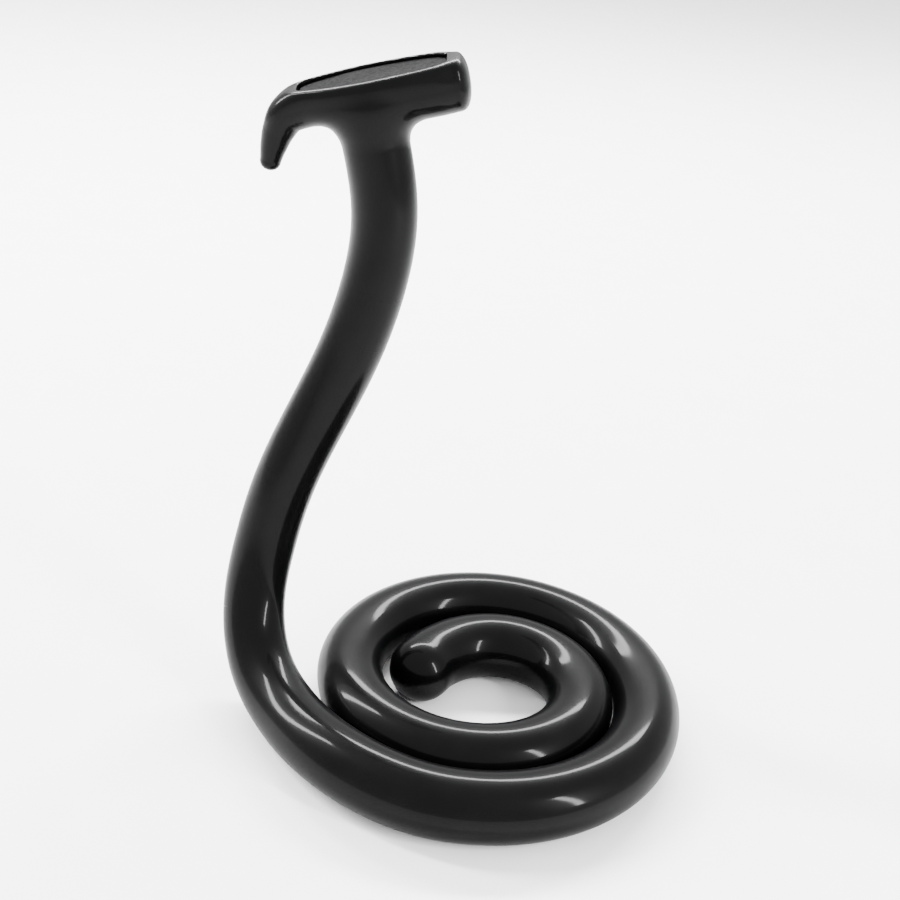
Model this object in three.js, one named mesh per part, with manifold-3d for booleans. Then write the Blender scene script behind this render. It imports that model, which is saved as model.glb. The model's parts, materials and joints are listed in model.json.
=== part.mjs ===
// A posable snake-form desk stand. One round black rod lies in a flat coil of about two turns,
// lifts off, climbs in an S curve and ends in a T-shaped head with a shallow dish and a beak.
// Millimetres, +Z up, +Y towards the back. The origin is under the middle of the whole object.
import * as THREE from "three";
import { mergeVertices } from "three/addons/utils/BufferGeometryUtils.js";
import Module from "manifold-3d";

const wasm = await Module();
wasm.setup();

// ---- Driving dimensions -------------------------------------------------------------------

const tubeDiameter = 30; // the coil's rod
const neckDiameter = 27.6; // the neck's rod
const soleDepth = 0.6; // how much the flat moulded sole takes off the bottom of the coil
const fitGap = 0.3; // between pieces that touch

// The coil's centreline: turn angle in degrees from the tail, and radius in rod diameters.
const coilSpread = [
  [0, 1.05],
  [45, 0.97],
  [90, 1.07],
  [180, 1.43],
  [270, 1.74],
  [360, 2.08],
  [450, 2.29],
  [540, 2.46],
  [630, 2.77],
  [720, 3.1],
];
const tailAngle = 14; // where the rod's centreline starts
const coilEndAngle = 645; // where the rod starts to leave the flat coil
const coilAngleStep = 15.025; // spacing of the coil's curve points

// The neck's centreline, from the end of the flat coil.
const neckRoute = [
  [-43.5, 22, 1],
  [-65, 47.5, 0.5],
  [-80, 70, 8],
  [-86.5, 87, 26],
  [-84.5, 97.5, 52.5],
  [-77.5, 103.5, 83],
  [-66, 108, 113.5],
  [-54, 110.5, 144],
  [-45.5, 112, 175.5],
  [-43, 113.5, 208.5],
  [-50, 114, 242],
];

// Ball-and-socket chain in the neck.
const linkCount = 8;
const firstJointAt = 148; // first ball centre, along the rod from coilEndAngle
const lastJointAt = 330; // last ball centre, at the throat of the head
const domeBulge = 1.2; // how much more than the neck's radius the sphere at a sleeve's end has
const jointGap = 0.6; // between a dome and the cup that turns on it
const neckBoreRadius = 9.5;
const ballRadius = 5.6;
const ballClearance = 0.7;
const socketWall = 1.8;
const socketSwing = 19.6; // how far a stem can tip in the mouth of a socket, in degrees
const stemRadius = 3;
const shoulderRadius = 3.6; // the thicker root of the stem, above the socket
const shoulderFillet = 0.7; // where the shoulder runs out
const flangeRadius = 7.3; // the rib that the sleeve sits on
const flangeBelow = 0.3; // the rib's underside is this far under the sphere of the dome
const flangeThickness = 1.2;
const seatTaper = 0.9; // above the rib in a sleeve, where it runs out to the bore

// Steel bar in the coil.
const barDiameter = 14;
const barStart = 14; // from the start of the centreline to the cut end of the bar
const barCapLength = 5;
const capNoseLength = 1.5; // the chamfer at the closed end of the bar's cap
const anchorLength = 13; // fitting between the bar and the first ball's stem
const collarLength = 3; // full-width foot of that fitting
const collarTaper = 2;

// Head, in its own frame: X along the top, Z out of the dish.
const headAt = [-49, 114, 248]; // foot of the head's frame, from the end of the flat coil
const headRise = 17; // degrees that the long axis climbs to the right
const headLean = 6; // degrees that the dish faces forward
const rimHeight = 18;
const rimWidth = 1.8;
const dishDepth = 3;
const leafTip = 2; // how far the dish's pointed left end runs on
const padThickness = 1.5;
const mastRadius = 6;
const mastTargetHeight = 7; // the mast points at this height on the head's own Z axis
const spigotRadius = 4;
const headBarLength = 44;
const headBarWidth = 13;
const headBarThickness = 5;
const headBarBelow = 2.7; // underside of the head bar, below the mast's target height
const screwRadius = 2;
const screwHeadRadius = 5.5;
const screwHeadHeight = 2.4;
const screwHeadSide = 1.4; // the straight part of the screw head's edge
const screwHeadTop = 3.3; // radius of its flat top
const screwPoint = 1;
const screwLength = 14;

// Sections of the head's arm and beak from right to left:
// x, z, half height, half depth, and how square the upper half is.
const armSections = [
  [38.9, 7, 4.6, 4.8, 2],
  [37.3, 7.1, 8.4, 8.4, 2.4],
  [33.4, 7.3, 11.1, 11, 3],
  [27, 7.5, 11.8, 12.8, 4],
  [10, 7.8, 11.5, 14.2, 5],
  [-5, 9, 10.2, 14.2, 5],
  [-18, 10, 9, 12.3, 4.5],
  [-28, 9.9, 8.9, 9.5, 3.5],
  [-35.2, 7.4, 8, 7.8, 2.4],
  [-40.3, 2, 6.7, 6.4, 2],
  [-44.1, -4, 5.5, 5.3, 2],
  [-46.8, -9.2, 4.2, 4.2, 2],
];
const armRightTip = [39.5, 7];
const beakTip = [-48.5, -12.6];

const throatStraight = 8; // plain rod above the head's cup

// Sections of the throat where the neck flares into the arms: z, x, half length, half depth.
const throatSections = [
  [-13, -1.4, 13.9, 13.8],
  [-7.5, -0.8, 15.3, 13.8],
  [-4, 0.4, 17.6, 13.8],
  [-1.2, 1, 21.4, 13.3],
  [1.5, 1.4, 26, 12.2],
  [5, 1.4, 28, 9],
];

// How finely curved faces are cut into flat ones.
const skinSides = 16;
const barSides = 8;
const turnedSides = 10;
const ballSteps = 4; // along each arc of a ball or socket
const dishSides = 36;
const stationStep = 12; // along the coil
const sleeveStations = 3; // along the straight part of each neck sleeve

// ---- Materials ----------------------------------------------------------------------------

const skinRubber = () =>
  new THREE.MeshStandardMaterial({ color: 0x0b0b0c, roughness: 0.22, metalness: 0 });
const padRubber = () =>
  new THREE.MeshStandardMaterial({ color: 0x1c1c1e, roughness: 0.85, metalness: 0 });
const steel = () =>
  new THREE.MeshStandardMaterial({ color: 0x8d9094, roughness: 0.35, metalness: 1 });
const acetal = () =>
  new THREE.MeshStandardMaterial({ color: 0xd8d4c8, roughness: 0.5, metalness: 0 });
const capPlastic = () =>
  new THREE.MeshStandardMaterial({ color: 0xa8352a, roughness: 0.6, metalness: 0 });

// ---- Small helpers ------------------------------------------------------------------------

const radians = THREE.MathUtils.degToRad;
const zAxis = new THREE.Vector3(0, 0, 1);

// A smooth value through [place, value] pairs.
function smoothValue(knots, at) {
  const slope = (i) => {
    const low = knots[Math.max(i - 1, 0)];
    const high = knots[Math.min(i + 1, knots.length - 1)];
    return (high[1] - low[1]) / (high[0] - low[0]);
  };
  let i = 0;
  while (i < knots.length - 2 && at > knots[i + 1][0]) i += 1;
  const width = knots[i + 1][0] - knots[i][0];
  const u = (at - knots[i][0]) / width;
  return (
    knots[i][1] * (1 + 2 * u) * (1 - u) ** 2 +
    slope(i) * width * u * (1 - u) ** 2 +
    knots[i + 1][1] * u * u * (3 - 2 * u) +
    slope(i + 1) * width * u * u * (u - 1)
  );
}

// One closed body through rings of points. It is capped with fans at poles, or, with no poles,
// its last ring joins its first, as a hollow sleeve does.
function loft(rings, poles) {
  const sides = rings[0].length;
  const points = rings.flat();
  const faces = [];
  const pairs = poles ? rings.length - 1 : rings.length;
  for (let ring = 0; ring < pairs; ring += 1) {
    const here = ring * sides;
    const next = ((ring + 1) % rings.length) * sides;
    for (let i = 0; i < sides; i += 1) {
      const j = (i + 1) % sides;
      faces.push(here + i, here + j, next + j, here + i, next + j, next + i);
    }
  }
  if (poles) {
    const first = points.push(poles[0]) - 1;
    const last = points.push(poles[1]) - 1;
    const lastRing = (rings.length - 1) * sides;
    for (let i = 0; i < sides; i += 1) {
      const j = (i + 1) % sides;
      faces.push(first, j, i, last, lastRing + i, lastRing + j);
    }
  }
  const geometry = new THREE.BufferGeometry().setFromPoints(points);
  geometry.setIndex(faces);
  return geometry;
}

function solidOf(geometry) {
  const bare = geometry.clone();
  bare.deleteAttribute("normal");
  bare.deleteAttribute("uv");
  const merged = mergeVertices(bare, 1e-4);
  const solid = new wasm.Manifold(
    new wasm.Mesh({
      numProp: 3,
      vertProperties: new Float32Array(merged.attributes.position.array),
      triVerts: new Uint32Array(merged.index.array),
    }),
  );
  return solid;
}

function geometryOf(solid) {
  const mesh = solid.getMesh();
  const geometry = new THREE.BufferGeometry();
  geometry.setAttribute("position", new THREE.BufferAttribute(mesh.vertProperties, 3));
  geometry.setIndex(new THREE.BufferAttribute(mesh.triVerts, 1));
  return geometry;
}

const cut = (body, ...tools) =>
  geometryOf(tools.reduce((left, tool) => left.subtract(solidOf(tool)), solidOf(body)));
const join = (...bodies) => geometryOf(bodies.map(solidOf).reduce((all, one) => all.add(one)));

// A turned piece from [radius, height] pairs that start and end on the axis, bottom first.
function turned(profile) {
  return new THREE.LatheGeometry(
    profile.map(([radius, height]) => new THREE.Vector2(radius, height)),
    turnedSides,
  ).rotateX(Math.PI / 2);
}

// [radius, height] pairs on a circle about the origin, angles in degrees from straight up.
function arc(radius, from, to, steps) {
  return Array.from({ length: steps + 1 }, (_, i) => {
    const angle = radians(from + ((to - from) * i) / steps);
    return [radius * Math.sin(angle), radius * Math.cos(angle)];
  });
}

const cylinder = (radius, from, to) =>
  turned([
    [0, from],
    [radius, from],
    [radius, to],
    [0, to],
  ]);

// ---- Centreline ---------------------------------------------------------------------------

const rodHeight = tubeDiameter / 2 - soleDepth;

function coilPoint(turn) {
  const radius = tubeDiameter * smoothValue(coilSpread, turn);
  const angle = radians(180 - turn);
  return new THREE.Vector3(radius * Math.cos(angle), radius * Math.sin(angle), rodHeight);
}

const coilEnd = coilPoint(coilEndAngle);
const fromCoilEnd = (offset) => new THREE.Vector3(...offset).add(coilEnd);

function centrelinePoints() {
  const points = [];
  for (let turn = tailAngle; turn <= coilEndAngle + 1; turn += coilAngleStep) {
    points.push(coilPoint(turn));
  }
  return [...points, ...neckRoute.map(fromCoilEnd)];
}

const centreline = new THREE.CatmullRomCurve3(centrelinePoints(), false, "centripetal");
centreline.arcLengthDivisions = 4000;
const rodLength = centreline.getLength();

// Distance along the rod of the point that is closest to a place.
function distanceTo(place) {
  let best = 0;
  for (let i = 0; i <= 4000; i += 1) {
    const s = (rodLength * i) / 4000;
    const nearer = centreline.getPointAt(s / rodLength).distanceTo(place);
    if (nearer < centreline.getPointAt(best / rodLength).distanceTo(place)) best = s;
  }
  return best;
}

const coilEndDistance = distanceTo(coilEnd);
const rodPoint = (s) => centreline.getPointAt(s / rodLength);
const rodDirection = (s) => centreline.getTangentAt(s / rodLength);

// Axes across the rod that turn as little as possible along it, kept on a fine grid.
const frameSteps = 1000;
const frames = centreline.computeFrenetFrames(frameSteps, false);

function rodAxes(s) {
  const nearest = Math.round((s / rodLength) * frameSteps);
  const along = rodDirection(s);
  const side = frames.normals[nearest].clone().addScaledVector(along, -frames.normals[nearest].dot(along));
  side.normalize();
  return { along, side, across: new THREE.Vector3().crossVectors(along, side) };
}

// A ring across the rod, centred on a place and facing along the axes.
function ring(place, axes, radius, sides = skinSides) {
  return Array.from({ length: sides }, (_, i) => {
    const angle = (2 * Math.PI * i) / sides;
    return place
      .clone()
      .addScaledVector(axes.side, radius * Math.cos(angle))
      .addScaledVector(axes.across, radius * Math.sin(angle));
  });
}

const jointCount = linkCount + 1;
const jointPitch = (lastJointAt - firstJointAt) / linkCount;
const jointDistance = (k) => coilEndDistance + firstJointAt + k * jointPitch;
const jointPoint = (k) => rodPoint(jointDistance(k));

// ---- Sleeve ends --------------------------------------------------------------------------

const neckRadius = neckDiameter / 2;
const domeRadius = neckRadius + domeBulge;

// Rings on a sphere about joint k, from one distance off the axis to another.
function sphereRings(k, sphereRadius, fromRadius, toRadius, steps) {
  const s = jointDistance(k);
  const axes = rodAxes(s);
  const from = Math.asin(fromRadius / sphereRadius);
  const to = Math.asin(toRadius / sphereRadius);
  return Array.from({ length: steps + 1 }, (_, i) => {
    const angle = from + ((to - from) * i) / steps;
    const place = rodPoint(s).addScaledVector(axes.along, sphereRadius * Math.cos(angle));
    return ring(place, axes, sphereRadius * Math.sin(angle));
  });
}

const domeRings = (k) => sphereRings(k, domeRadius, neckRadius, neckBoreRadius, 2);
const cupRings = (k) =>
  sphereRings(k, domeRadius + jointGap, neckBoreRadius, neckRadius, 2);
const domeReach = Math.sqrt(domeRadius ** 2 - neckBoreRadius ** 2);

// ---- Coil ---------------------------------------------------------------------------------

const tubeRadius = tubeDiameter / 2;
const barRadius = barDiameter / 2;
const barEnd = jointDistance(0) - ballRadius - anchorLength;
const barSteps = Math.round((barEnd - barStart) / stationStep);
const barStations = Array.from(
  { length: barSteps + 1 },
  (_, i) => barStart + ((barEnd - barStart) * i) / barSteps,
);

// The rod thins from the coil to the neck over its lift.
function rodRadius(s) {
  const lift = THREE.MathUtils.smoothstep(s, coilEndDistance, jointDistance(0));
  return THREE.MathUtils.lerp(tubeRadius, neckRadius, lift);
}

const rodRing = (s, radius, sides) => ring(rodPoint(s), rodAxes(s), radius, sides);

function tailRings() {
  return [75, 50, 25].map((angle) => {
    const place = rodPoint(0).addScaledVector(
      rodDirection(0),
      -tubeRadius * Math.sin(radians(angle)),
    );
    return ring(place, rodAxes(0), tubeRadius * Math.cos(radians(angle)));
  });
}

function coilBody() {
  const axes = rodAxes(jointDistance(0));
  const rings = [
    ...tailRings(),
    rodRing(0, tubeRadius),
    ...barStations.map((s) => rodRing(s, rodRadius(s))),
    rodRing(jointDistance(0), neckRadius),
    ...domeRings(0),
  ];
  const tip = rodPoint(0).addScaledVector(rodDirection(0), -tubeRadius);
  const top = jointPoint(0).addScaledVector(axes.along, domeReach);
  return loft(rings, [tip, top]);
}

// The space in the coil for the bar, its cap and, at the top, the anchor and the first socket.
function coilBore() {
  const boreRadius = barRadius + fitGap;
  const start = barStart - barCapLength - fitGap;
  const narrow = loft(
    [start, ...barStations].map((s) => rodRing(s, boreRadius, barSides)),
    [rodPoint(start), rodPoint(barEnd)],
  );
  const wideStart = barEnd - fitGap;
  const top = jointDistance(0);
  const beyond = rodPoint(top).addScaledVector(rodDirection(top), domeRadius + 1);
  const wide = loft(
    [
      rodRing(wideStart, neckBoreRadius),
      rodRing((wideStart + top) / 2, neckBoreRadius),
      rodRing(top, neckBoreRadius),
      ring(beyond, rodAxes(top), neckBoreRadius),
    ],
    [rodPoint(wideStart), beyond],
  );
  return [narrow, wide];
}

function coilSkin() {
  const span = 20 * tubeDiameter;
  const underTheSole = new THREE.BoxGeometry(span, span, tubeDiameter).translate(
    0,
    0,
    -tubeDiameter / 2,
  );
  return cut(coilBody(), ...coilBore(), underTheSole);
}

function coilBar() {
  return loft(
    barStations.map((s) => rodRing(s, barRadius, barSides)),
    [rodPoint(barStart), rodPoint(barEnd)],
  );
}

function barEndCap() {
  const from = barStart - barCapLength;
  const to = barStart - fitGap;
  return loft(
    [
      rodRing(from, barRadius - capNoseLength, barSides),
      rodRing(from + capNoseLength, barRadius, barSides),
      rodRing(to, barRadius, barSides),
    ],
    [rodPoint(from), rodPoint(to)],
  );
}

// ---- Neck ---------------------------------------------------------------------------------

const socketInner = ballRadius + ballClearance;
const socketOuter = socketInner + socketWall;
const flangeFrom = domeRadius - flangeBelow;
const flangeTo = flangeFrom + flangeThickness;
const stemAngle = THREE.MathUtils.radToDeg(Math.asin(stemRadius / ballRadius));
const socketMouth = THREE.MathUtils.radToDeg(Math.asin(stemRadius / socketInner)) + socketSwing;

// The socket half of a link: its ball centre is at height 0, its mouth opens down, and it
// carries the rib that grips the sleeve.
function socketProfile() {
  const shoulderAt = Math.sqrt(socketOuter ** 2 - shoulderRadius ** 2);
  const shoulderAngle = THREE.MathUtils.radToDeg(Math.asin(shoulderRadius / socketOuter));
  return [
    ...arc(socketInner, 0, 180 - socketMouth, ballSteps),
    ...arc(socketOuter, 180 - socketMouth, shoulderAngle, ballSteps),
    [shoulderRadius, Math.max(shoulderAt, flangeFrom - shoulderFillet)],
    [shoulderRadius + shoulderFillet, flangeFrom],
    [flangeRadius, flangeFrom],
    [flangeRadius, flangeTo],
    [shoulderRadius, flangeTo - shoulderFillet],
  ];
}

// The ball half: a ball on a stem, with its centre at a height.
function ballProfile(height) {
  return arc(ballRadius, 180 - stemAngle, 0, ballSteps).map(([radius, z]) => [radius, height + z]);
}

// Turns and moves a piece built up its own Z axis so that the axis runs from one place to another.
function aimed(geometry, from, to) {
  const along = new THREE.Vector3().subVectors(to, from).normalize();
  geometry.applyQuaternion(new THREE.Quaternion().setFromUnitVectors(zAxis, along));
  return geometry.translate(from.x, from.y, from.z);
}

function neckAnchor() {
  const from = rodPoint(barEnd);
  const to = jointPoint(0);
  const height = from.distanceTo(to);
  const tilt = rodDirection(barEnd).angleTo(new THREE.Vector3().subVectors(to, from));
  const foot = fitGap + barRadius * Math.tan(tilt);
  const piece = turned([
    [0, foot],
    [barRadius, foot],
    [barRadius, foot + collarLength],
    [shoulderRadius, foot + collarLength + collarTaper],
    [stemRadius, height - socketOuter - shoulderFillet],
    ...ballProfile(height),
  ]);
  return aimed(piece, from, to);
}

function neckLink(k) {
  const from = jointPoint(k);
  const to = jointPoint(k + 1);
  const height = from.distanceTo(to);
  const root = [stemRadius, flangeTo - shoulderFillet];
  const piece = turned([...socketProfile(), root, ...ballProfile(height)]);
  return aimed(piece, from, to);
}

// The rib inside a sleeve that sits round its link's own rib, on the link's axis.
function seatRings(k) {
  const from = jointPoint(k);
  const along = jointPoint(k + 1).sub(from).normalize();
  const { side } = rodAxes(jointDistance(k) + flangeFrom);
  side.addScaledVector(along, -side.dot(along)).normalize();
  const axes = { along, side, across: new THREE.Vector3().crossVectors(along, side) };
  const radius = (flangeRadius + fitGap) / Math.cos(Math.PI / skinSides);
  return [flangeTo, flangeFrom].map((height) =>
    ring(from.clone().addScaledVector(along, height), axes, radius),
  );
}

function neckSleeve(k) {
  const from = jointDistance(k) + Math.sqrt((domeRadius + jointGap) ** 2 - neckRadius ** 2);
  const to = jointDistance(k + 1) + Math.sqrt(domeRadius ** 2 - neckRadius ** 2);
  const outside = [];
  for (let i = 1; i < sleeveStations; i += 1) {
    outside.push(rodRing(THREE.MathUtils.lerp(from, to, i / sleeveStations), neckRadius));
  }
  const overSeat = jointDistance(k) + flangeTo + seatTaper;
  const inside = [
    rodRing(jointDistance(k + 1), neckBoreRadius),
    rodRing(overSeat, neckBoreRadius),
    ...seatRings(k),
  ];
  return loft([...cupRings(k), ...outside, ...domeRings(k + 1), ...inside]);
}

// ---- Head ---------------------------------------------------------------------------------

const headTurn = new THREE.Euler(radians(headLean), radians(-headRise), 0, "YXZ");
const headFrame = new THREE.Matrix4().compose(
  fromCoilEnd(headAt),
  new THREE.Quaternion().setFromEuler(headTurn),
  new THREE.Vector3(1, 1, 1),
);
const fromHead = (x, y, z) => new THREE.Vector3(x, y, z).applyMatrix4(headFrame);

// One section across the head's arm: round below, squarer above.
function armRing([x, z, halfHeight, halfDepth, square], along) {
  const up = new THREE.Vector2(-along.y, along.x);
  return Array.from({ length: skinSides }, (_, i) => {
    const angle = (2 * Math.PI * i) / skinSides;
    const [c, s] = [Math.cos(angle), Math.sin(angle)];
    const power = s > 0 ? 2 / square : 1;
    const lift = halfHeight * Math.sign(s) * Math.abs(s) ** power;
    const depth = halfDepth * Math.sign(c) * Math.abs(c) ** power;
    return fromHead(x + up.x * lift, -depth, z + up.y * lift);
  });
}

function headArm() {
  const places = [armRightTip, ...armSections, beakTip];
  const rings = armSections.map((section, i) => {
    const along = new THREE.Vector2(
      places[i + 2][0] - places[i][0],
      places[i + 2][1] - places[i][1],
    );
    return armRing(section, along.multiplyScalar(-1).normalize());
  });
  const tip = ([x, z]) => fromHead(x, 0, z);
  return loft(rings, [tip(armRightTip), tip(beakTip)]);
}

// The throat starts on the last ball's sphere, follows the rod and flares into the arm.
function headThroat() {
  const last = jointCount - 1;
  const start = jointDistance(last) + Math.sqrt((domeRadius + jointGap) ** 2 - neckRadius ** 2);
  const axes = rodAxes(jointDistance(last));
  const flared = throatSections.map(([z, x, halfLength, halfDepth]) =>
    Array.from({ length: skinSides }, (_, i) => {
      const angle = (2 * Math.PI * i) / skinSides + throatTwist(axes);
      return fromHead(x + halfLength * Math.cos(angle), halfDepth * Math.sin(angle), z);
    }),
  );
  const foot = jointPoint(last).addScaledVector(axes.along, domeReach);
  const top = throatSections.at(-1);
  return loft(
    [...cupRings(last), rodRing(start + throatStraight, neckRadius), ...flared],
    [foot, fromHead(top[1], 0, top[0])],
  );
}

// Turn of the rod's side axis about the head's own Z axis, so that the throat doesn't twist.
function throatTwist(axes) {
  const turn = new THREE.Quaternion().setFromEuler(headTurn).invert();
  const side = axes.side.clone().applyQuaternion(turn);
  return Math.atan2(side.y, side.x);
}

// Half the depth of the arm at the height of the rim.
function rimHalfDepth([, z, halfHeight, halfDepth, square]) {
  const share = (rimHeight - z) / halfHeight;
  return share < 1 ? halfDepth * (1 - share ** square) ** (1 / square) : 0;
}

// The leaf-shaped outline inside the rim, drawn in by a margin.
function dishShape(margin) {
  const open = armSections.filter((section) => rimHalfDepth(section) > margin + leafTip / 2);
  const side = open.map((section) => [section[0], rimHalfDepth(section) - margin]);
  const rightEnd = [open[0][0] + rimHalfDepth(open[0]) / 2 - margin, 0];
  const leftEnd = [open.at(-1)[0] - rimHalfDepth(open.at(-1)) / 2 - leafTip + margin, 0];
  const far = [leftEnd, ...side.toReversed(), rightEnd];
  const near = side.map(([x, y]) => [x, -y]);
  const outline = [...far, ...near].map(([x, y]) => new THREE.Vector3(x, y, 0));
  const curve = new THREE.CatmullRomCurve3(outline, true, "centripetal");
  return new THREE.Shape(curve.getSpacedPoints(dishSides).map(({ x, y }) => new THREE.Vector2(x, y)));
}

// A slab of the dish's outline between two heights in the head's frame.
function dishSlab(margin, from, to) {
  return new THREE.ExtrudeGeometry(dishShape(margin), { depth: to - from, bevelEnabled: false })
    .translate(0, 0, from)
    .applyMatrix4(headFrame);
}

// Pieces in the head are built on the mast: up from the last ball centre.
const mastFoot = jointPoint(jointCount - 1);
const mastTop = fromHead(0, 0, mastTargetHeight);
const headBarAt = mastFoot.distanceTo(mastTop) - headBarBelow;
const headBarTop = headBarAt + headBarThickness;
const screwSeat = headBarTop + fitGap;

function headBarSlab(grow) {
  const width = headBarWidth / 2 + grow;
  const reach = headBarLength / 2 - headBarWidth / 2;
  const shape = new THREE.Shape();
  shape.absarc(reach, 0, width, -Math.PI / 2, Math.PI / 2, false);
  shape.absarc(-reach, 0, width, Math.PI / 2, (3 * Math.PI) / 2, false);
  return new THREE.ExtrudeGeometry(shape, {
    depth: headBarThickness + 2 * grow,
    bevelEnabled: false,
    curveSegments: 5,
  }).translate(0, 0, headBarAt - grow);
}

function headSocket() {
  const body = turned([
    ...socketProfile().slice(0, -1),
    [mastRadius, flangeTo],
    [mastRadius, headBarAt - fitGap],
    [spigotRadius, headBarAt - fitGap],
    [spigotRadius, headBarTop],
    [0, headBarTop],
  ]);
  const hole = cylinder(screwRadius + fitGap, headBarTop - screwLength, headBarTop + 1);
  return aimed(cut(body, hole), mastFoot, mastTop);
}

function headBar() {
  const hole = cylinder(spigotRadius + 2 * fitGap, headBarAt - 1, headBarTop + 1);
  return aimed(cut(headBarSlab(0), hole), mastFoot, mastTop);
}

function headScrew() {
  const tip = headBarTop - screwLength + screwPoint;
  return aimed(
    turned([
      [0, tip],
      [screwRadius, tip + screwPoint],
      [screwRadius, screwSeat],
      [screwHeadRadius, screwSeat],
      [screwHeadRadius, screwSeat + screwHeadSide],
      [screwHeadTop, screwSeat + screwHeadHeight],
      [0, screwSeat + screwHeadHeight],
    ]),
    mastFoot,
    mastTop,
  );
}

// The space in the head skin for the socket, mast, bar and screw.
function headCavity() {
  const socketRoom = cylinder(neckBoreRadius, 0, flangeTo + fitGap);
  const mastRoom = cylinder(mastRadius + 2 * fitGap, flangeTo, headBarAt);
  const screwRoom = cylinder(
    screwHeadRadius + 2 * fitGap,
    headBarAt,
    screwSeat + screwHeadHeight + fitGap,
  );
  return [socketRoom, mastRoom, screwRoom, headBarSlab(fitGap)].map((room) =>
    aimed(room, mastFoot, mastTop),
  );
}

function headSkin() {
  const span = armRightTip[0] - beakTip[0];
  const aboveTheRim = new THREE.BoxGeometry(2 * span, span, span)
    .translate(0, 0, rimHeight + span / 2)
    .applyMatrix4(headFrame);
  const dish = dishSlab(rimWidth, rimHeight - dishDepth, rimHeight + 1);
  const ball = new THREE.SphereGeometry(domeRadius + jointGap, 24, 16).translate(...mastFoot);
  return cut(join(headArm(), headThroat()), aboveTheRim, dish, ball, ...headCavity());
}

function dishPad() {
  const from = rimHeight - dishDepth + fitGap;
  return dishSlab(rimWidth + fitGap, from, from + padThickness);
}

// ---- Assembly -----------------------------------------------------------------------------

const snakeStand = new THREE.Group();

function place(name, geometry, material) {
  const mesh = new THREE.Mesh(geometry, material);
  mesh.name = name;
  snakeStand.add(mesh);
}

place("coil_skin", coilSkin(), skinRubber());
place("coil_bar", coilBar(), steel());
place("bar_end_cap", barEndCap(), capPlastic());
place("neck_anchor", neckAnchor(), steel());
for (let k = 0; k < linkCount; k += 1) {
  place(`neck_link_${k + 1}`, neckLink(k), acetal());
  place(`neck_sleeve_${k + 1}`, neckSleeve(k), skinRubber());
}
place("head_socket", headSocket(), acetal());
place("head_bar", headBar(), steel());
place("head_screw", headScrew(), steel());
place("head_skin", headSkin(), skinRubber());
place("dish_pad", dishPad(), padRubber());

// The origin is the middle of the object's footprint.
const extent = new THREE.Box3().setFromObject(snakeStand);
const middle = extent.getCenter(new THREE.Vector3());
snakeStand.children.forEach((mesh) => mesh.position.set(-middle.x, -middle.y, -extent.min.z));

export default snakeStand;
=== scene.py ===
"""A posable snake-form desk stand: a glossy black rubber rod coiled flat, rising to a T-shaped head."""

import json
import math

import bmesh
import bpy
import numpy as np
from mathutils import Matrix, Vector


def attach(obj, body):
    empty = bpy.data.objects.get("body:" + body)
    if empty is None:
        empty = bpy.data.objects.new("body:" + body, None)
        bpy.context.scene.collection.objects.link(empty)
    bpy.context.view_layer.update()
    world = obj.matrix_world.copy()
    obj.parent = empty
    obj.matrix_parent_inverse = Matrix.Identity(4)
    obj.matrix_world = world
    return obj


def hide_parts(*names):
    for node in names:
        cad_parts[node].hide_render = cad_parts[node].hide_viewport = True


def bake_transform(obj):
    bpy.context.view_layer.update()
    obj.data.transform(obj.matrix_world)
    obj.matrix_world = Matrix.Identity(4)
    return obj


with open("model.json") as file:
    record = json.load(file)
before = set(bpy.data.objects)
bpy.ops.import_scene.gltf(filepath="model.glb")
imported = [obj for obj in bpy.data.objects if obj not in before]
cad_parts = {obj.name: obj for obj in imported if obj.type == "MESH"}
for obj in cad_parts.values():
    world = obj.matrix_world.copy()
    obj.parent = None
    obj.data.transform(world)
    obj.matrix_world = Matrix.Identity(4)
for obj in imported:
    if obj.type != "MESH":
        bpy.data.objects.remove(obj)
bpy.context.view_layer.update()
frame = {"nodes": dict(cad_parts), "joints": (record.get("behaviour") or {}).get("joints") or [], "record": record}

MM = 0.001

# ---- Sizes, in millimetres unless a name says otherwise -----------------------------------

ROD_RADIUS = 15.0
NECK_RADIUS = 13.8
SOLE_DEPTH = 0.6
COIL_BORE_RADIUS = 7.3
COIL_BORE_START = 8.7
SOCKET_ROOM_BELOW = 18.9
NECK_BORE_RADIUS = 9.5

# The coil: turn angle in degrees from the tail, and radius in rod diameters.
COIL_SPREAD = [
    (0, 1.05), (45, 0.97), (90, 1.07), (180, 1.43), (270, 1.74),
    (360, 2.08), (450, 2.29), (540, 2.46), (630, 2.77), (720, 3.1),
]
TAIL_ANGLE = 14
COIL_END_ANGLE = 645
COIL_ANGLE_STEP = 15.025

# The neck's route, from the end of the flat coil.
NECK_ROUTE = [
    (-43.5, 22, 1), (-65, 47.5, 0.5), (-80, 70, 8), (-86.5, 87, 26), (-84.5, 97.5, 52.5),
    (-77.5, 103.5, 83), (-66, 108, 113.5), (-54, 110.5, 144), (-45.5, 112, 175.5),
    (-43, 113.5, 208.5), (-50, 114, 242),
]

# The head in its own frame: X along its top, Z out of the dish.
HEAD_AT = (-49, 114, 248)
HEAD_RISE = 17
HEAD_LEAN = 6
RIM_HEIGHT = 18.0
RIM_WIDTH = 1.8
DISH_FLOOR = 15.0
RIM_ROUNDING = 0.9
DISH_CORNER_ROUNDING = 0.5
PAD_TOP = 16.8
PAD_CROWN = 0.6
PAD_CROWN_HALF_WIDTH = 10
PAD_GAP = 0.25
PAD_EDGE_ROUNDING = 0.7
PAD_FOOT_ROUNDING = 0.3

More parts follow.
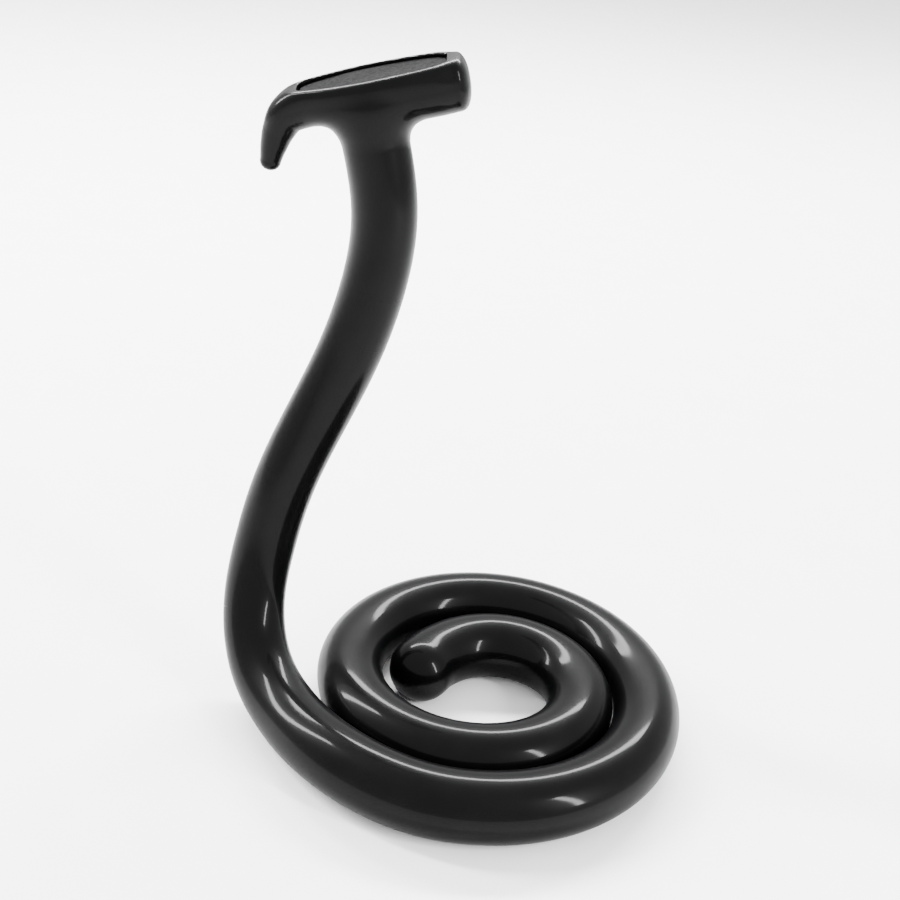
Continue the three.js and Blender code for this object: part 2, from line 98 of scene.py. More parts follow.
# Stations along the head's arm and beak, right to left:
# x, z, half height, half depth, and how square the upper half is.
ARM_STATIONS = np.array([
    (34, 7.2, 11.3, 11.4, 3),
    (27, 7.5, 11.8, 12.8, 4),
    (10, 7.8, 11.5, 14.2, 5),
    (-5, 9, 10.2, 14.2, 5),
    (-18, 10, 9, 12.3, 4.5),
    (-28, 9.9, 8.9, 9.5, 3.5),
    (-35.2, 7.4, 8, 7.8, 2.4),
    (-40.3, 2, 6.7, 6.4, 2),
    (-44.1, -4, 5.5, 5.3, 2),
    (-46.8, -9.2, 4.4, 4.3, 2),
])
END_FLATNESS = 2.4
END_REACH_RIGHT = 5.6
SQUARE_FROM = 0.35  # share of the half height over which a section turns from round to square
THROAT_FILLET = 11.0
THROAT_START_BELOW = 12

# Rooms in the head for its socket, mast, bar and screw, measured on the mast.
MAST_TARGET_HEIGHT = 7
SOCKET_ROOM_ABOVE = 15
MAST_ROOM_RADIUS = 6.6
SCREW_ROOM_ABOVE = 5.6
BAR_ROOM_REACH = 15.5
BAR_ROOM_RADIUS = 7.0
BAR_ROOM_BELOW = 0.2
BAR_ROOM_HALF_HEIGHT = 3.0
SOCKET_ROOM_ROUNDING = 1.5
ROOM_ROUNDING = 1.0

# How finely the skins are made.
ROD_SIDES = 72
TIP_RADIUS = 0.02
TAIL_RINGS = 22
SEAM_ALLOWANCE = 4.0
RING_SPACING = 2.0
NECK_RING_SPACING = 1.2
HEAD_GRID = 0.6
PAD_GRID = 0.5
HEAD_BOX = (-56, -20, -48), (43, 20, 20)
PAD_BOX = (-40, -14, 13.5), (42, 14, 18.5)
ARM_SAMPLES = 120
THROAT_SAMPLES = 24
BATCH_SIZE = 20000
DRAWING_PASSES = 5
SLOPE_STEP = 0.02
ROUTE_PASSES = 12
LENGTH_SAMPLES = 6000
SEARCH_SAMPLES = 8000
DIRECTION_STEP = 0.2
BORE_STEP_LENGTH = 0.05
ROD_SHARP_ANGLE = 40
HEAD_SHARP_ANGLE = 50
BLEND_SHARE = 0.45  # of the joint pitch, on each side of a ball


# ---- Centreline ---------------------------------------------------------------------------

def smooth_value(knots, at):
    """A smooth value through (place, value) pairs."""
    def slope(i):
        low, high = knots[max(i - 1, 0)], knots[min(i + 1, len(knots) - 1)]
        return (high[1] - low[1]) / (high[0] - low[0])
    i = 0
    while i < len(knots) - 2 and at > knots[i + 1][0]:
        i += 1
    width = knots[i + 1][0] - knots[i][0]
    u = (at - knots[i][0]) / width
    return (knots[i][1] * (1 + 2 * u) * (1 - u) ** 2 + slope(i) * width * u * (1 - u) ** 2
            + knots[i + 1][1] * u * u * (3 - 2 * u) + slope(i + 1) * width * u * u * (u - 1))


def coil_point(turn):
    radius = 2 * ROD_RADIUS * smooth_value(COIL_SPREAD, turn)
    angle = math.radians(180 - turn)
    return np.array([radius * math.cos(angle), radius * math.sin(angle), ROD_RADIUS - SOLE_DEPTH])


class Spline:
    """A curve through points with continuous curvature, measured by distance along it."""

    def __init__(self, points):
        self.points = np.asarray(points, float)
        steps = np.linalg.norm(np.diff(self.points, axis=0), axis=1)
        self.knots = np.concatenate([[0], np.cumsum(steps)])
        self.bends = self._second_derivatives()
        fine = np.linspace(0, self.knots[-1], LENGTH_SAMPLES)
        walked = np.linalg.norm(np.diff(self._raw(fine), axis=0), axis=1)
        self.fine, self.distance = fine, np.concatenate([[0], np.cumsum(walked)])
        self.length = self.distance[-1]

    def _second_derivatives(self):
        t, p, n = self.knots, self.points, len(self.points)
        h = np.diff(t)
        system, right = np.eye(n), np.zeros((n, 3))
        for i in range(1, n - 1):
            system[i, i - 1:i + 2] = h[i - 1], 2 * (h[i - 1] + h[i]), h[i]
            right[i] = 6 * ((p[i + 1] - p[i]) / h[i] - (p[i] - p[i - 1]) / h[i - 1])
        return np.linalg.solve(system, right)

    def _raw(self, t):
        i = np.clip(np.searchsorted(self.knots, t) - 1, 0, len(self.points) - 2)
        h = (self.knots[i + 1] - self.knots[i])[:, None]
        a = (self.knots[i + 1] - t)[:, None] / h
        b = 1 - a
        curve = (a ** 3 - a) * self.bends[i] + (b ** 3 - b) * self.bends[i + 1]
        return a * self.points[i] + b * self.points[i + 1] + curve * h * h / 6

    def at(self, s):
        return self._raw(np.interp(np.atleast_1d(s), self.distance, self.fine))

    def direction(self, s):
        here = np.atleast_1d(s)
        ahead = self.at(here + DIRECTION_STEP) - self.at(here - DIRECTION_STEP)
        return ahead / np.linalg.norm(ahead, axis=1)[:, None]

    def nearest(self, place):
        s = np.linspace(0, self.length, SEARCH_SAMPLES)
        return s[np.argmin(np.linalg.norm(self.at(s) - place, axis=1))]


def nearest_joint_gap(line, joint):
    place = np.array(joint["pos_m"]) / MM
    return place - line.at(line.nearest(place))[0]


def whole_route():
    """The rod's route, moved sideways so that its neck runs through the ball centres."""
    turns = np.arange(TAIL_ANGLE, COIL_END_ANGLE + 1, COIL_ANGLE_STEP)
    neck = [coil_point(COIL_END_ANGLE) + np.array(offset) for offset in NECK_ROUTE]
    points = np.array([coil_point(turn) for turn in turns] + neck)
    shift = np.zeros(3)
    for _ in range(ROUTE_PASSES):
        line = Spline(points + shift)
        shift += np.mean([nearest_joint_gap(line, joint) for joint in frame["joints"]], axis=0)
        shift[2] = 0
    return Spline(points + shift), coil_point(COIL_END_ANGLE) + shift


rod, coil_end = whole_route()
joints = {joint["name"]: joint for joint in frame["joints"]}
joint_names = list(joints)
joint_at = [rod.nearest(np.array(joint["pos_m"]) / MM) for joint in frame["joints"]]
joint_pitch = (joint_at[-1] - joint_at[0]) / (len(joint_at) - 1)
coil_end_at = rod.nearest(coil_end)


def rod_radius(s):
    """The rod is rounded at the tail, full along the coil, and a little slimmer in the neck."""
    lift = np.clip((s - coil_end_at) / (joint_at[0] - coil_end_at), 0, 1)
    body = ROD_RADIUS + (NECK_RADIUS - ROD_RADIUS) * lift * lift * (3 - 2 * lift)
    into_tail = np.clip(-s / ROD_RADIUS, 0, 1)
    return body * np.sqrt(1 - into_tail ** 2)


# ---- Mesh helpers -------------------------------------------------------------------------

def link(mesh_object):
    bpy.context.scene.collection.objects.link(mesh_object)
    return mesh_object


def mesh_piece(name, points, faces, material):
    mesh = bpy.data.meshes.new(name)
    mesh.from_pydata([tuple(p) for p in points], [], [tuple(f) for f in faces])
    mesh.materials.append(material)
    return link(bpy.data.objects.new(name, mesh))


def smooth_with_sharp_edges(piece, degrees):
    """Smooth shading, with the edges that turn more than an angle kept sharp."""
    mesh = piece.data
    mesh.polygons.foreach_set("use_smooth", [True] * len(mesh.polygons))
    work = bmesh.new()
    work.from_mesh(mesh)
    for edge in work.edges:
        edge.smooth = len(edge.link_faces) == 2 and edge.calc_face_angle() < math.radians(degrees)
    work.to_mesh(mesh)
    work.free()


# ---- Materials ----------------------------------------------------------------------------

class Material:
    """A procedural material on the piece's own Object coordinates."""

    def __init__(self, name, **sockets):
        self.material = bpy.data.materials.new(name)
        self.material.use_nodes = True
        self.tree = self.material.node_tree
        self.shader = self.tree.nodes["Principled BSDF"]
        self.coordinates = self.add("ShaderNodeTexCoord").outputs["Object"]
        for socket, value in sockets.items():
            self.shader.inputs[socket.replace("_", " ")].default_value = value

    def add(self, kind, **settings):
        node = self.tree.nodes.new(kind)
        for key, value in settings.items():
            setattr(node, key, value)
        return node

    def join(self, output, node_input):
        self.tree.links.new(output, node_input)

    def noise(self, scale, detail=4.0, roughness=0.5):
        node = self.add("ShaderNodeTexNoise")
        node.inputs["Scale"].default_value = scale
        node.inputs["Detail"].default_value = detail
        node.inputs["Roughness"].default_value = roughness
        self.join(self.coordinates, node.inputs["Vector"])
        return node.outputs["Fac"]

    def ranged(self, value, low, high, start=0.0, end=1.0):
        node = self.add("ShaderNodeMapRange")
        for key, number in zip(("From Min", "From Max", "To Min", "To Max"), (start, end, low, high)):
            node.inputs[key].default_value = number
        self.join(value, node.inputs["Value"])
        return node.outputs["Result"]

    def colours(self, value, *stops):
        node = self.add("ShaderNodeValToRGB")
        ramp = node.color_ramp
        while len(ramp.elements) < len(stops):
            ramp.elements.new(0.5)
        for element, (place, colour) in zip(ramp.elements, stops):
            element.position = place
            element.color = (*colour, 1)
        self.join(value, node.inputs["Fac"])
        return node.outputs["Color"]

    def bump(self, height, distance, strength=1.0, under=None):
        node = self.add("ShaderNodeBump")
        node.inputs["Distance"].default_value = distance
        node.inputs["Strength"].default_value = strength
        self.join(height, node.inputs["Height"])
        if under is not None:
            self.join(under, node.inputs["Normal"])
        return node.outputs["Normal"]

    def use(self, **outputs):
        for socket, output in outputs.items():
            self.join(output, self.shader.inputs[socket.replace("_", " ")])


def skin_rubber():
    """Glossy black moulded rubber: a soft sheen under a crisp surface gloss, faintly uneven."""
    m = Material("skin_rubber", IOR=1.09, Coat_Weight=0.13, Coat_Roughness=0.1, Coat_IOR=1.4)
    m.use(Base_Color=m.colours(
        m.noise(60, 6), (0.3, (0.0005, 0.0005, 0.0006)), (0.7, (0.0011, 0.0011, 0.0013))))
    smears = m.noise(35, 5, 0.6)
    m.use(Roughness=m.ranged(smears, 0.3, 0.42, 0.3, 0.7))
    swell = m.bump(m.noise(45, 1), 0.0004, 0.35)
    m.use(Normal=m.bump(m.noise(2600, 2), 0.00002, 0.5, swell))
    return m.material


def pad_rubber():
    """Matt inlay with a fine leather-like grain."""
    m = Material("pad_rubber", IOR=1.1)
    cells = m.add("ShaderNodeTexVoronoi", feature="SMOOTH_F1")
    cells.inputs["Scale"].default_value = 900
    m.join(m.coordinates, cells.inputs["Vector"])
    m.use(Base_Color=m.colours(
        m.noise(200, 4), (0.3, (0.0015, 0.0015, 0.0017)), (0.7, (0.0035, 0.0035, 0.0038))))
    m.use(Roughness=m.ranged(cells.outputs["Distance"], 0.6, 0.85))
    m.use(Normal=m.bump(cells.outputs["Distance"], 0.0002, 0.6))
    return m.material


def mill_steel():
    """Drawn bar: grey scale with long faint scratches and a little rust bloom."""
    m = Material("ballast_steel", Metallic=1.0)
    m.use(Base_Color=m.colours(
        m.noise(120, 6), (0.3, (0.22, 0.21, 0.2)), (0.6, (0.42, 0.42, 0.42)), (0.8, (0.3, 0.22, 0.17))))
    m.use(Roughness=m.ranged(m.noise(300, 5), 0.35, 0.6))
    m.use(Normal=m.bump(m.noise(700, 3), 0.0001, 0.4))
    return m.material


def turned_steel():
    """Zinc-plated turned fittings."""
    m = Material("fitting_steel", Metallic=1.0)
    m.use(Base_Color=m.colours(m.noise(90, 4), (0.3, (0.5, 0.52, 0.55)), (0.7, (0.62, 0.63, 0.64))))
    m.use(Roughness=m.ranged(m.noise(500, 4), 0.2, 0.38))
    m.use(Normal=m.bump(m.noise(1500, 2), 0.00004, 0.5))
    return m.material


def acetal():
    """Natural acetal: milky, slightly waxy, with faint moulding marks."""
    m = Material("link_acetal", IOR=1.48, Subsurface_Weight=0.15, Subsurface_Scale=0.002)
    m.use(Base_Color=m.colours(m.noise(70, 4), (0.3, (0.68, 0.66, 0.6)), (0.7, (0.78, 0.76, 0.71))))
    m.use(Roughness=m.ranged(m.noise(400, 4), 0.38, 0.52))
    m.use(Normal=m.bump(m.noise(1200, 3), 0.00005, 0.5))
    return m.material


def dipped_vinyl():
    """Red dipped vinyl cap."""
    m = Material("cap_plastic", IOR=1.5)
    m.use(Base_Color=m.colours(m.noise(120, 4), (0.3, (0.3, 0.03, 0.02)), (0.7, (0.42, 0.045, 0.03))))
    m.use(Roughness=m.ranged(m.noise(250, 4), 0.35, 0.5))
    m.use(Normal=m.bump(m.noise(900, 3), 0.00006, 0.5))
    return m.material


def floor_paper():
    """Plain pale seamless paper."""
    m = Material("floor_paper", Roughness=0.75)
    m.use(Base_Color=m.colours(m.noise(30, 4), (0.3, (0.86, 0.86, 0.86)), (0.7, (0.89, 0.89, 0.89))))
    return m.material


finishes = {
    "ballast_steel": mill_steel(),
    "fitting_steel": turned_steel(),
    "link_acetal": acetal(),
    "cap_plastic": dipped_vinyl(),
    "pad_rubber": pad_rubber(),
    "skin_rubber": skin_rubber(),
}


# ---- Rod skins ----------------------------------------------------------------------------

def rod_skin_tree():
    """Sweeps a round wall along each line of points, as wide as its points say, above the floor."""
    tree = bpy.data.node_groups.new("rod_skin", "GeometryNodeTree")
    tree.interface.new_socket("Lines", in_out="INPUT", socket_type="NodeSocketGeometry")
    inputs = {}
    for name, kind in (("Sides", "NodeSocketInt"), ("Sole height", "NodeSocketFloat"),
                       ("Material", "NodeSocketMaterial")):
        inputs[name] = tree.interface.new_socket(name, in_out="INPUT", socket_type=kind).identifier
    tree.interface.new_socket("Skin", in_out="OUTPUT", socket_type="NodeSocketGeometry")
    given = tree.nodes.new("NodeGroupInput").outputs

    def add(kind, links, **settings):
        node = tree.nodes.new(kind)
        for key, value in settings.items():
            setattr(node, key, value)
        for key, output in links.items():
            tree.links.new(output, node.inputs[key])
        return node

    curves = add("GeometryNodeMeshToCurve", {"Mesh": given["Lines"]})
    radius = add("GeometryNodeInputNamedAttribute", {}, data_type="FLOAT")
    radius.inputs["Name"].default_value = "wall_radius"
    section = add("GeometryNodeCurvePrimitiveCircle", {"Resolution": given["Sides"]})
    section.inputs["Radius"].default_value = 1.0
    swept = add("GeometryNodeCurveToMesh", {
        "Curve": curves.outputs["Curve"],
        "Profile Curve": section.outputs["Curve"],
        "Scale": radius.outputs["Attribute"],
    })
    place = add("ShaderNodeSeparateXYZ", {"Vector": add("GeometryNodeInputPosition", {}).outputs[0]})
    raised = add("ShaderNodeMath", {0: place.outputs["Z"], 1: given["Sole height"]}, operation="MAXIMUM")
    level = add("ShaderNodeCombineXYZ", {
        "X": place.outputs["X"], "Y": place.outputs["Y"], "Z": raised.outputs[0]})
    flat = add("GeometryNodeSetPosition", {
        "Geometry": swept.outputs["Mesh"], "Position": level.outputs["Vector"]})
    real = add("GeometryNodeRealizeInstances", {"Geometry": flat.outputs["Geometry"]})
    done = add("GeometryNodeSetMaterial", {
        "Geometry": real.outputs["Geometry"], "Material": given["Material"]})
    out = tree.nodes.new("NodeGroupOutput")
    tree.links.new(done.outputs["Geometry"], out.inputs["Skin"])
    return tree, inputs


def rod_places(s):
    """Points on the centreline, which runs straight on past the tail."""
    before = np.minimum(s, 0)[:, None]
    return rod.at(np.maximum(s, 0)) + rod.direction(DIRECTION_STEP) * before


def guide_lines(name, walls):
    """A line of points along the rod for each wall, which carries the wall's radius."""
    points, edges, radii = [], [], []
    for s, radius in walls:
        edges += [(len(points) + i, len(points) + i + 1) for i in range(len(s) - 1)]
        points += [tuple(place * MM) for place in rod_places(s)]
        radii += list(np.maximum(radius, TIP_RADIUS) * MM)
    mesh = bpy.data.meshes.new(name)
    mesh.from_pydata(points, edges, [])
    mesh.attributes.new("wall_radius", "FLOAT", "POINT").data.foreach_set("value", radii)
    return link(bpy.data.objects.new(name, mesh))


def edge_loops(edges):
    """Edges sorted into the loops that they form."""
    left, loops = set(edges), []
    while left:
        loop, growing = [], [left.pop()]
        while growing:
            edge = growing.pop()
            loop.append(edge)
            beside = {e for vert in edge.verts for e in vert.link_edges} & left
            left -= beside
            growing += beside
        loops.append(loop)
    return loops


def loop_middle(loop):
    return sum((vert.co for edge in loop for vert in edge.verts), Vector()) / (2 * len(loop))


def close_ends(mesh):
    """Joins the outer wall to the bore where both are open, and caps a wall that is open alone."""
    work = bmesh.new()
    work.from_mesh(mesh)
    bmesh.ops.remove_doubles(work, verts=work.verts, dist=2.5 * TIP_RADIUS * MM)
    ends = edge_loops([edge for edge in work.edges if edge.is_boundary])
    while ends:
        first = ends.pop()
        middle = loop_middle(first)
        partners = [end for end in ends if (loop_middle(end) - middle).length < MM]
        if partners:
            ends.remove(partners[0])
            bmesh.ops.triangle_fill(work, edges=first + partners[0], use_beauty=True)
        else:
            bmesh.ops.contextual_create(work, geom=first)
    bmesh.ops.recalc_face_normals(work, faces=work.faces)
    work.to_mesh(mesh)
    work.free()


skin_tree, skin_inputs = rod_skin_tree()


def rod_skin(name, walls):
    guide = guide_lines(name + "_guide", walls)
    modifier = guide.modifiers.new("skin", "NODES")
    modifier.node_group = skin_tree
    modifier[skin_inputs["Sides"]] = ROD_SIDES
    modifier[skin_inputs["Sole height"]] = 0.0
    modifier[skin_inputs["Material"]] = finishes["skin_rubber"]
    shown = guide.evaluated_get(bpy.context.evaluated_depsgraph_get())
    mesh = bpy.data.meshes.new_from_object(shown)
    guide.modifiers.clear()
    bpy.data.objects.remove(guide)
    mesh.name = name
    close_ends(mesh)
    piece = link(bpy.data.objects.new(name, mesh))
    return piece


def stations(start, end, spacing):
    return np.linspace(start, end, max(2, round((end - start) / spacing) + 1))


def coil_skin(end):
    """The coil, from its rounded tail to just below the first ball, hollow for its bar."""
    tail = -ROD_RADIUS * np.cos(np.linspace(0, math.pi / 2, TAIL_RINGS))
    outer = np.concatenate([tail[:-1], stations(0, end, RING_SPACING)])
    socket_room = joint_at[0] - SOCKET_ROOM_BELOW
    narrow = stations(COIL_BORE_START, socket_room, 2 * RING_SPACING)
    wide = stations(socket_room + BORE_STEP_LENGTH, end, RING_SPACING)
    bore = np.concatenate([narrow, wide])
    bore_radius = np.where(bore <= socket_room, COIL_BORE_RADIUS, NECK_BORE_RADIUS)
    piece = rod_skin("coil_rubber", [(outer, rod_radius(outer)), (bore, bore_radius)])
    smooth_with_sharp_edges(piece, ROD_SHARP_ANGLE)
    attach(piece, "coil")
    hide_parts("coil_skin")


def neck_skin(k, start, end):
    """The skin across ball k, between the bodies on its two sides."""
    last = k == len(joint_names) - 2
    s = stations(start, end + SEAM_ALLOWANCE if last else end, NECK_RING_SPACING)
    bore_radius = np.full(len(s), NECK_BORE_RADIUS)
    piece = rod_skin(f"neck_rubber_{k + 1}", [(s, rod_radius(s)), (s, bore_radius)])
    if last:
        swivel = joints["head_swivel"]
        cut_flat(piece, Vector(swivel["pos_m"]), -Vector(swivel["axis"]))
    smooth_with_sharp_edges(piece, ROD_SHARP_ANGLE)
    along = Vector(rod.direction(joint_at[k])[0]) * BLEND_SHARE * joint_pitch * MM
    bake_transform(piece)
    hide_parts(f"neck_sleeve_{k + 1}")


def neck_and_coil():
    seams = [joint_at[0] - joint_pitch / 2]
    seams += [(a + b) / 2 for a, b in zip(joint_at[:-2], joint_at[1:-1])]
    seams += [joint_at[-1]]
    coil_skin(seams[0])
    for k, (start, end) in enumerate(zip(seams[:-1], seams[1:])):
        neck_skin(k, start, end)


# ---- Head ---------------------------------------------------------------------------------

head_rise = Matrix.Rotation(math.radians(-HEAD_RISE), 3, "Y")
head_lean = Matrix.Rotation(math.radians(HEAD_LEAN), 3, "X")
head_turn = np.array(head_rise @ head_lean)
head_origin = coil_end + np.array(HEAD_AT)


def to_head(points):
    return (points - head_origin) @ head_turn


def from_head(points):
    return points @ head_turn.T + head_origin


def blend_min(a, b, width):
    """The smaller of two fields, with their meeting rounded."""
    near = np.clip(width - np.abs(a - b), 0, None) / width
    return np.minimum(a, b) - near * near * width / 4


def blend_max(a, b, width):
    return -blend_min(-a, -b, width)


def arm_samples(count):
    """Places and sizes along the arm, evenly spaced, as rows like ARM_STATIONS."""
    steps = np.linalg.norm(np.diff(ARM_STATIONS[:, :2], axis=0), axis=1)
    walked = np.concatenate([[0], np.cumsum(steps)])
    along = np.linspace(0, walked[-1], count)
    columns = [[smooth_value(list(zip(walked, ARM_STATIONS[:, c])), t) for t in along] for c in range(5)]
    return np.array(columns).T


def nearest_on_line(places, line):
    """For each place in a plane, the nearest part of a line: its number, share along it, and gap."""
    start, step = line[:-1], np.diff(line, axis=0)
    gap = places[:, None] - start
    along = np.clip(np.einsum("pij,ij->pi", gap, step) / (step ** 2).sum(1), 0, 1)
    gap -= along[..., None] * step
    i = np.argmin((gap ** 2).sum(2), axis=1)
    take = np.arange(len(places))
    return i, along[take, i], gap[take, i]


def in_batches(work, points):
    """A field's values, worked out for a few thousand points at a time."""
    if not len(points):
        return np.zeros(0)
    starts = range(0, len(points), BATCH_SIZE)
    return np.concatenate([work(points[low:low + BATCH_SIZE]) for low in starts])


def arm_field(points, rows):
    """Roughly how far outside the arm each point is: round below, squarer above, blunt at its ends."""
    step = np.diff(rows[:, :2], axis=0)

    def work(p):
        i, share, gap = nearest_on_line(p[:, [0, 2]], rows[:, :2])
        row = rows[i] * (1 - share[:, None]) + rows[i + 1] * share[:, None]
        ahead = step[i] / np.linalg.norm(step[i], axis=1)[:, None]
        lift = ahead[:, 1] * gap[:, 0] - ahead[:, 0] * gap[:, 1]
        beyond = (ahead * gap).sum(1)
        return section_field(lift, p[:, 1], beyond, row)
    return in_batches(work, points)


def section_field(lift, depth, beyond, row):
    """Rounder at the middle height than at the top, so that nothing jumps where the sides meet."""
    upper = np.clip(lift / (SQUARE_FROM * row[:, 2]), 0, 1)
    power = 2 + (row[:, 4] - 2) * upper * upper * (3 - 2 * upper)
    cap = np.where(row[:, 0] > 0, END_REACH_RIGHT, row[:, 2])
    share = (np.abs(lift / row[:, 2]) ** power + np.abs(depth / row[:, 3]) ** power) ** (1 / power)
    end = np.abs(beyond / cap)
    whole = (share ** END_FLATNESS + end ** END_FLATNESS) ** (1 / END_FLATNESS)
    return (whole - 1) * np.minimum(row[:, 2], row[:, 3])


def rim_outline(rows):
    """Half of the leaf-shaped outline of the arm's top at the height of the rim."""
    reach = (RIM_HEIGHT - rows[:, 1]) / rows[:, 2]
    open_rows = rows[reach < 1]
    share = reach[reach < 1]
    half = open_rows[:, 3] * (1 - share ** open_rows[:, 4]) ** (1 / open_rows[:, 4])
    line = np.stack([open_rows[:, 0], half], 1)[::-1]
    ends = line[[0, -1]] * (1, 0)
    return np.concatenate([ends[:1], line, ends[1:]])


def outline_field(points, outline):
    """How far outside the rim's outline each point is, seen from above."""
    def work(p):
        places = np.stack([p[:, 0], np.abs(p[:, 1])], 1)
        gap = np.linalg.norm(nearest_on_line(places, outline)[2], axis=1)
        inside = places[:, 1] < np.interp(places[:, 0], outline[:, 0], outline[:, 1], 0, 0)
        return np.where(inside, -gap, gap)
    value = np.full(len(points), 50.0)
    near = points[:, 2] > DISH_FLOOR - 3
    value[near] = in_batches(work, points[near])
    return value


def line_field(points, line, radius):
    """How far outside a round rod along a line of points each point is."""
    out = np.full(len(points), np.inf)
    for a, b in zip(line[:-1], line[1:]):
        step = b - a
        along = np.clip((points - a) @ step / (step @ step), 0, 1)
        out = np.minimum(out, np.linalg.norm(points - a - along[:, None] * step, axis=1))
    return out - radius


arm_rows = arm_samples(ARM_SAMPLES)
rim_line = rim_outline(arm_rows)
throat_start = joint_at[-1] - THROAT_START_BELOW
throat_line = to_head(rod.at(np.linspace(throat_start, rod.nearest(head_origin), THROAT_SAMPLES)))
mast = to_head(np.array([joints["head_swivel"]["pos_m"]]) / MM)[0]


def core_field(points):
    """The room inside the head for its socket, mast, bar and screw."""
    up = np.array([0, 0, MAST_TARGET_HEIGHT]) - mast
    tall = np.linalg.norm(up)
    up /= tall
    height = (points - mast) @ up
    across = points - mast - height[:, None] * up
    around = np.linalg.norm(across, axis=1)
    socket_top = height - SOCKET_ROOM_ABOVE
    socket = blend_max(around - NECK_BORE_RADIUS, socket_top, SOCKET_ROOM_ROUNDING)
    post = blend_max(around - MAST_ROOM_RADIUS, height - tall - SCREW_ROOM_ABOVE, ROOM_ROUNDING)
    past_the_bar = np.clip(np.abs(across[:, 0]) - BAR_ROOM_REACH, 0, None)
    bar_side = np.linalg.norm(np.stack([past_the_bar, across[:, 1]], 1), axis=1) - BAR_ROOM_RADIUS
    bar_face = np.abs(height - tall + BAR_ROOM_BELOW) - BAR_ROOM_HALF_HEIGHT
    bar = blend_max(bar_side, bar_face, ROOM_ROUNDING)
    return blend_min(blend_min(socket, post, ROOM_ROUNDING), bar, ROOM_ROUNDING)


def head_field(points):
    arm = arm_field(points, arm_rows)
    body = blend_min(arm, line_field(points, throat_line, NECK_RADIUS), THROAT_FILLET)
    body = blend_max(body, points[:, 2] - RIM_HEIGHT, RIM_ROUNDING)
    dish = np.maximum(outline_field(points, rim_line) + RIM_WIDTH, DISH_FLOOR - points[:, 2])
    return np.maximum(blend_max(body, -dish, DISH_CORNER_ROUNDING), -core_field(points))


def pad_field(points):
    edge = outline_field(points, rim_line) + RIM_WIDTH + PAD_GAP
    dip = PAD_CROWN - PAD_CROWN * (points[:, 1] / PAD_CROWN_HALF_WIDTH) ** 2
    top = points[:, 2] - (PAD_TOP - dip)
    foot = DISH_FLOOR + PAD_GAP - points[:, 2]
    return blend_max(blend_max(edge, top, PAD_EDGE_ROUNDING), foot, PAD_FOOT_ROUNDING)


def surface_of(field, low, high, spacing):
    """Points and four-sided faces of a field's zero surface, on a grid and then drawn onto it."""
    counts = [int((b - a) / spacing) + 2 for a, b in zip(low, high)]
    axes = [a + spacing * np.arange(n) for a, n in zip(low, counts)]
    grid = np.stack(np.meshgrid(*axes, indexing="ij"), -1)
    value = field(grid.reshape(-1, 3)).reshape(counts)
    corner = [(i, j, k) for i in (0, 1) for j in (0, 1) for k in (0, 1)]
    cut = tuple(n - 1 for n in counts)

    def at(c):
        return value[c[0]:c[0] + cut[0], c[1]:c[1] + cut[1], c[2]:c[2] + cut[2]]

    total, hits = np.zeros((*cut, 3)), np.zeros(cut)
    for a in corner:
        for axis in range(3):
            if a[axis]:
                continue
            b = tuple(1 if n == axis else a[n] for n in range(3))
            va, vb = at(a), at(b)
            crosses = (va < 0) != (vb < 0)
            share = np.where(crosses, va / np.where(crosses, va - vb, 1), 0)
            place = np.array(a) + share[..., None] * (np.array(b) - np.array(a))
            total += np.where(crosses[..., None], place, 0)
            hits += crosses
    cells = np.argwhere(hits > 0)
    index = np.full(cut, -1)
    index[tuple(cells.T)] = np.arange(len(cells))
    inside_cell = total[tuple(cells.T)] / hits[tuple(cells.T)][:, None]
    points = np.array(low) + (cells + inside_cell) * spacing
    return draw_onto(field, points, spacing), grid_faces(value, index)


def grid_faces(value, index):
    faces = []
    for axis in range(3):
        u, v = (axis + 1) % 3, (axis + 2) % 3
        here = [slice(1, -1)] * 3
        here[axis] = slice(0, -1)
        ahead = list(here)
        ahead[axis] = slice(1, None)
        a, b = value[tuple(here)] < 0, value[tuple(ahead)] < 0
        for wanted, turn in ((a & ~b, 1), (~a & b, -1)):
            at = np.argwhere(wanted) + [0 if n == axis else 1 for n in range(3)]
            around = []
            for du, dv in ((-1, -1), (0, -1), (0, 0), (-1, 0)):
                cell = at.copy()
                cell[:, u] += du
                cell[:, v] += dv
                around.append(index[tuple(cell.T)])
            faces.append(np.stack(around[::turn], 1))
    return np.concatenate(faces)


def draw_onto(field, points, spacing):
    for _ in range(DRAWING_PASSES):
        value = field(points)
        ahead_less_behind = [
            field(points + step) - field(points - step) for step in SLOPE_STEP * np.eye(3)]
        slope = np.stack(ahead_less_behind, 1) / (2 * SLOPE_STEP)
        move = value[:, None] * slope / np.maximum((slope ** 2).sum(1), 0.05)[:, None]
        size = np.linalg.norm(move, axis=1)[:, None]
        points = points - move * np.minimum(1, 0.5 * spacing / np.maximum(size, 1e-9))
    return points


def cut_flat(piece, place, normal):
    """Cuts a piece off below a plane and closes the cut."""
    work = bmesh.new()
    work.from_mesh(piece.data)
    geometry = work.verts[:] + work.edges[:] + work.faces[:]
    bmesh.ops.bisect_plane(work, geom=geometry, plane_co=place, plane_no=normal, clear_inner=True)
    ends = edge_loops([edge for edge in work.edges if edge.is_boundary])
    bmesh.ops.triangle_fill(work, edges=ends[0] + ends[1], use_beauty=True)
    bmesh.ops.recalc_face_normals(work, faces=work.faces)
    work.to_mesh(piece.data)
    work.free()


def head_piece(name, field, box, spacing, slot_name, node):
    points, faces = surface_of(field, *box, spacing)
    piece = mesh_piece(name, from_head(points) * MM, faces, finishes[slot_name])
    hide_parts(node)
    return piece


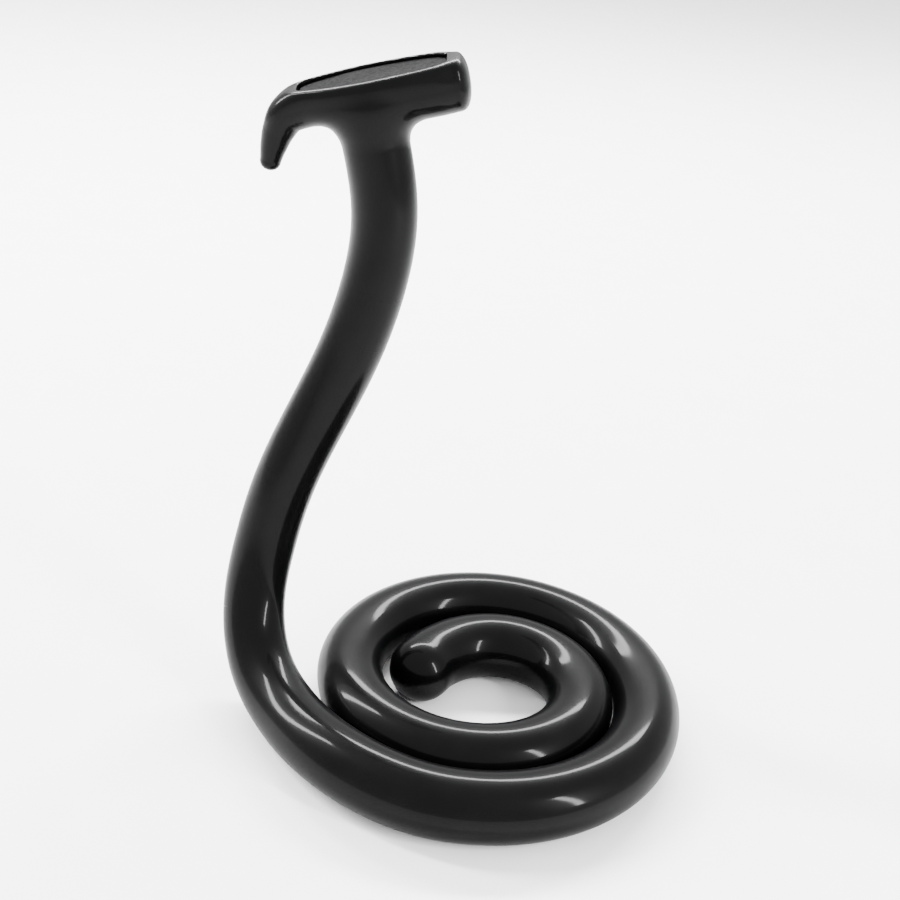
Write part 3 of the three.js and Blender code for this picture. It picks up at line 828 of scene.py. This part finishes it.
def head():
    swivel = joints["head_swivel"]
    skin = head_piece("head_rubber", head_field, HEAD_BOX, HEAD_GRID, "skin_rubber", "head_skin")
    cut_flat(skin, Vector(swivel["pos_m"]), Vector(swivel["axis"]))
    pad = head_piece("dish_inlay", pad_field, PAD_BOX, PAD_GRID, "pad_rubber", "dish_pad")
    for piece in (skin, pad):
        smooth_with_sharp_edges(piece, HEAD_SHARP_ANGLE)
        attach(piece, "head")


# ---- Finishes on the pieces that keep their shape -----------------------------------------

def finish_inner_pieces():
    slots = {s["node"]: s["material_slot"] for s in frame["record"]["subparts"]}
    for name, node in frame["nodes"].items():
        node.data.materials.clear()
        node.data.materials.append(finishes[slots[name]])


# ---- Camera, floor and lights -------------------------------------------------------------

CAMERA_AIM = Vector((-0.0108, 0.0172, 0.1281))
CAMERA_DISTANCE = 0.61
CAMERA_PITCH = 27.16
CAMERA_ROLL = 6.17
CAMERA_LENS = 56.85
SENSOR_WIDTH = 36
FLOOR_HALF_SIZE = 6.0
FLOOR_DROP = 0.0002
WORLD_STRENGTH = 2.4


def camera():
    data = bpy.data.cameras.new("camera")
    data.lens = CAMERA_LENS
    data.sensor_width = SENSOR_WIDTH
    eye = link(bpy.data.objects.new("camera", data))
    pitch = math.radians(CAMERA_PITCH)
    backwards = Vector((0, -math.cos(pitch), math.sin(pitch)))
    turn = Matrix.Rotation(math.pi / 2 - pitch, 4, "X") @ Matrix.Rotation(math.radians(CAMERA_ROLL), 4, "Z")
    eye.matrix_world = Matrix.Translation(CAMERA_AIM + backwards * CAMERA_DISTANCE) @ turn
    bpy.context.scene.camera = eye


def floor():
    size = FLOOR_HALF_SIZE
    piece = mesh_piece(
        "floor", [(-size, -size, 0), (size, -size, 0), (size, size, 0), (-size, size, 0)],
        [(0, 1, 2, 3)], floor_paper())
    piece.location.z = -FLOOR_DROP


def area_light(name, place, target, size, power):
    data = bpy.data.lights.new(name, "AREA")
    data.shape = "RECTANGLE"
    data.size, data.size_y = size
    data.energy = power
    lamp = link(bpy.data.objects.new(name, data))
    lamp.location = place
    aim = Vector(target) - Vector(place)
    lamp.rotation_euler = aim.to_track_quat("-Z", "Y").to_euler()
    return lamp


def studio():
    world = bpy.data.worlds.new("studio")
    world.use_nodes = True
    background = world.node_tree.nodes["Background"]
    background.inputs["Color"].default_value = (1, 1, 1, 1)
    background.inputs["Strength"].default_value = WORLD_STRENGTH
    bpy.context.scene.world = world
    area_light("back_strip", (-0.1, 1.15, 1.25), (0, 0, 0.05), (1.9, 0.2), 150)
    area_light("left_strip", (-1.2, 0.3, 1.0), (0, 0, 0.1), (0.14, 1.0), 60)
    area_light("right_strip", (1.1, -0.7, 0.8), (0, 0, 0.15), (0.1, 0.9), 40)


neck_and_coil()
head()
finish_inner_pieces()
camera()
floor()
studio()
